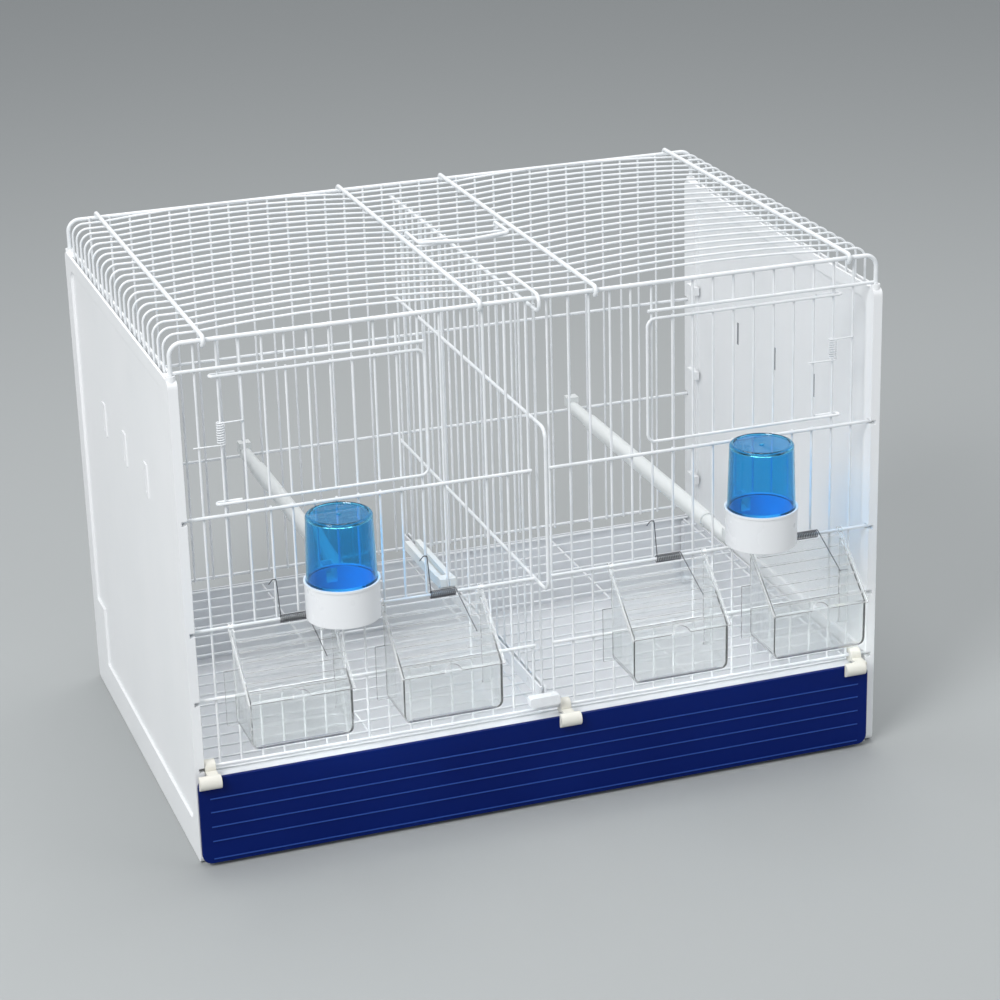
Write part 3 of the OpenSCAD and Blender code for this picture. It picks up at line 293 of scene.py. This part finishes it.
wire = coated_wire()
panel = moulded_white("panel_plastic", srgb(240, 241, 242), srgb(235, 237, 238))
# The right side panel, with painted shade on its slot walls
slotted = moulded_white("slotted_panel_plastic", srgb(240, 241, 242), srgb(235, 237, 238),
                        shade=painted_slot_shade)
tray_white = moulded_white("tray_plastic", srgb(224, 226, 229), srgb(218, 221, 224))
cup_white = moulded_white("cup_plastic", srgb(236, 238, 240), srgb(231, 233, 235),
                          (0.25, 0.34))
ivory = moulded_white("ivory_plastic", srgb(228, 226, 217), srgb(221, 218, 208), (0.3, 0.42))
milky = moulded_white("perch_plastic", srgb(226, 229, 228), srgb(219, 222, 221), (0.3, 0.42))
front_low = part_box("tray_front")[0].y
navy = tray_blue(front_low + 0.0001, front_low + 0.0007)
cup_glass = clear("clear_plastic", srgb(250, 251, 251), srgb(245, 247, 247), 0.03, 0.96,
                  (0.92, 0.93, 0.93, 1.0), 0.0006, 0.2)
# The ribbed lids get the strongest painted highlight along their rib edges
lid_glass = clear("ribbed_clear_plastic", srgb(250, 251, 251), srgb(245, 247, 247), 0.03, 0.96,
                  (0.9, 0.91, 0.92, 1.0), 0.0007, 0.7)
dome_glass = clear("blue_clear_plastic", srgb(104, 204, 242), srgb(96, 197, 238), 0.02, 0.97,
                   (0.5, 0.8, 0.95, 1.0), 0.0005, 0.05)
steel = spring_steel()

NODE_MATERIALS = [
    ("side_panel_left", panel), ("side_panel_right", slotted), ("tray_front", navy),
    ("tray_clip", ivory), ("tray", tray_white),
    ("perch", milky), ("feeder_lid", lid_glass), ("feeder_cup", cup_glass),
    ("drinker_cup", cup_white), ("drinker_dome", dome_glass), ("divider_track", cup_white),
    ("divider_foot", cup_white), ("", wire),
]


def dress(name, node):
    """Gives a CAD node its material, by the start of its name."""
    chosen = next(m for start, m in NODE_MATERIALS if name.startswith(start))
    node.data.materials.clear()
    node.data.materials.append(chosen.material)


for name, node in nodes.items():
    dress(name, node)


def smooth_path(points, steps):
    """A Catmull-Rom curve through a row of points."""
    path = []
    for i in range(len(points) - 1):
        before = points[max(i - 1, 0)]
        start, end = points[i], points[i + 1]
        after = points[min(i + 2, len(points) - 1)]
        for j in range(steps):
            t = j / steps
            path.append(0.5 * (2 * start + (end - before) * t
                               + (2 * before - 5 * start + 4 * end - after) * t * t
                               + (3 * start - before - 3 * end + after) * t ** 3))
    return path + [points[-1]]


def tube(name, path, radius, material):
    """A round wire along a path, its ring of sides carried along without twist."""
    vertices, faces = [], []
    ahead = (path[1] - path[0]).normalized()
    side = ahead.orthogonal().normalized()
    count = len(path)
    for i, point in enumerate(path):
        ahead = (path[min(i + 1, count - 1)] - path[max(i - 1, 0)]).normalized()
        side = (side - ahead * side.dot(ahead)).normalized()
        other = ahead.cross(side)
        for j in range(TUBE_SIDES):
            angle = 2 * math.pi * j / TUBE_SIDES
            vertices.append(point + radius * (math.cos(angle) * side + math.sin(angle) * other))
    for i in range(count - 1):
        for j in range(TUBE_SIDES):
            a, b = i * TUBE_SIDES + j, i * TUBE_SIDES + (j + 1) % TUBE_SIDES
            faces.append((a, b, b + TUBE_SIDES, a + TUBE_SIDES))
    faces.append(tuple(reversed(range(TUBE_SIDES))))
    faces.append(tuple((count - 1) * TUBE_SIDES + j for j in range(TUBE_SIDES)))
    mesh = bpy.data.meshes.new(name)
    mesh.from_pydata(vertices, [], faces)
    mesh.update()
    for face in mesh.polygons:
        face.use_smooth = len(face.vertices) == 4
    mesh.materials.append(material.material)
    piece = bpy.data.objects.new(name, mesh)
    bpy.context.scene.collection.objects.link(piece)
    return piece


def door_spring(side):
    """Coil round the hinge wire, with one leg on the grille and one on the door."""
    node = f"door_spring_{side}"
    axis = joints[f"door_{side}_swing"]["pos_m"]
    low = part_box(node)[0].z + DOOR_SPRING_WIRE / 2
    base = Vector((axis[0], axis[1], low))

    def leg(reach, height):
        return base + Vector((reach, abs(reach) * DOOR_LEG_LEAN - DOOR_SPRING_R, height))
    coil = []
    total = RINGS_PER_CURL * DOOR_SPRING_TURNS
    for i in range(total + 1):
        angle = -math.pi / 2 + 2 * math.pi * i / RINGS_PER_CURL
        coil.append(base + Vector((DOOR_SPRING_R * math.cos(angle),
                                   DOOR_SPRING_R * math.sin(angle),
                                   DOOR_SPRING_LENGTH * i / total)))
    lower = smooth_path([leg(-DOOR_LOWER_LEG, 0), leg(-DOOR_LOWER_LEG / 2, 0), coil[0]], 6)
    upper = smooth_path([coil[-1], leg(DOOR_UPPER_LEG / 2, DOOR_SPRING_LENGTH),
                         leg(DOOR_UPPER_LEG, DOOR_SPRING_LENGTH)], 6)
    piece = tube(f"spring_door_{side}", lower[:-1] + coil + upper[1:],
                 DOOR_SPRING_WIRE / 2, wire)
    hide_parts(node)
    if side == "left":
        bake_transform(piece)
    else:
        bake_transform(piece)


def lid_spring(number):
    """Coil round the cross wire: a hook on the grille wire and a leg over the lid."""
    node = f"feeder_spring_{number}"
    axis = joints[f"feeder_lid_{number}_tip"]["pos_m"]
    base = Vector(axis)
    front = HOOK_WIRE_BEHIND - HOOK_WIRE_R - LID_SPRING_WIRE / 2 - HOOK_GAP
    hook = [(-0.0052, HOOK_WIRE_BEHIND + 0.0002, LID_LEG_UP - 0.0032),
            (-0.0026, front + 0.0003, LID_LEG_UP + 0.0008),
            (-0.0006, front, LID_LEG_UP + 0.001),
            (0.0006, front - 0.0001, LID_LEG_UP - 0.001),
            (0.0013, front - 0.0016, LID_LEG_UP / 2)]
    total = RINGS_PER_CURL * LID_SPRING_TURNS
    sweep = 2 * math.pi * LID_SPRING_TURNS + LID_SLOPE - math.pi / 2
    coil = []
    for i in range(total + 1):
        angle = math.pi + sweep * i / total
        coil.append(base + Vector((LID_COIL_START + LID_SPRING_LENGTH * i / total,
                                   LID_SPRING_R * math.cos(angle),
                                   LID_SPRING_R * math.sin(angle))))
    leg = []
    coil_end = LID_COIL_START + LID_SPRING_LENGTH
    for t in (0.5, 1.0):
        high = LID_SPRING_R + t * (LID_LEG_HIGH - LID_SPRING_R)
        along = t * LID_LEG_ALONG
        leg.append(base + Vector((
            coil_end + t * (LID_LEG_OUT - coil_end),
            -along * math.cos(LID_SLOPE) - high * math.sin(LID_SLOPE),
            high * math.cos(LID_SLOPE) - along * math.sin(LID_SLOPE))))
    before = smooth_path([base + Vector(p) for p in hook] + [coil[0]], 5)
    after = smooth_path([coil[-1]] + leg, 8)
    piece = tube(f"spring_lid_{number}", before[:-1] + coil + after[1:],
                 LID_SPRING_WIRE / 2, steel)
    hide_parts(node)
    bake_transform(piece)


for side in ("left", "right"):
    door_spring(side)
for number in range(1, 5):
    lid_spring(number)


def stage_floor():
    """Plain pale floor under the cage."""
    half = FLOOR_SIZE / 2
    mesh = bpy.data.meshes.new("floor")
    mesh.from_pydata([(-half, -half, 0), (half, -half, 0), (half, half, 0), (-half, half, 0)],
                     [], [(0, 1, 2, 3)])
    floor = bpy.data.objects.new("floor", mesh)
    bpy.context.scene.collection.objects.link(floor)
    floor.location.z = -FLOOR_DROP
    m = Material("floor", (*FLOOR_COLOR, 1.0), 0.7, Specular_IOR_Level=0.1)
    mesh.materials.append(m.material)


def stage_lights():
    """A soft key from the upper left, a fill from the right, one above and daylight."""
    world = bpy.data.worlds.new("studio")
    world.use_nodes = True
    background = world.node_tree.nodes["Background"]
    background.inputs["Color"].default_value = DAYLIGHT_COLOR
    background.inputs["Strength"].default_value = DAYLIGHT_STRENGTH
    bpy.context.scene.world = world
    for name, place, size, power in LAMPS:
        lamp = bpy.data.lights.new(name, "AREA")
        lamp.size = size
        lamp.energy = power
        light = bpy.data.objects.new(name, lamp)
        light.location = place
        aim = LAMPS_AIM - Vector(place)
        light.rotation_mode = "QUATERNION"
        light.rotation_quaternion = aim.to_track_quat("-Z", "Y")
        bpy.context.scene.collection.objects.link(light)


def stage_camera():
    """The photograph's own view, turned back from its measured angles."""
    data = bpy.data.cameras.new("photo_camera")
    data.sensor_width = SENSOR
    data.lens = CAMERA_LENS
    data.clip_end = CAMERA_CLIP_END
    back = Vector((math.sin(CAMERA_AZIMUTH) * math.cos(CAMERA_ELEVATION),
                   -math.cos(CAMERA_AZIMUTH) * math.cos(CAMERA_ELEVATION),
                   math.sin(CAMERA_ELEVATION)))
    level = (-back).cross(Vector((0, 0, 1))).normalized()
    upright = level.cross(-back)
    cosine, sine = math.cos(CAMERA_ROLL), math.sin(CAMERA_ROLL)
    right = cosine * level + sine * upright
    up = -sine * level + cosine * upright
    camera = bpy.data.objects.new("photo_camera", data)
    camera.matrix_world = (Matrix.Translation(CAMERA_AT)
                           @ Matrix((right, up, back)).transposed().to_4x4())
    bpy.context.scene.collection.objects.link(camera)
    bpy.context.scene.camera = camera


stage_floor()
stage_lights()
stage_camera()
bpy.context.scene.view_settings.view_transform = "Standard"
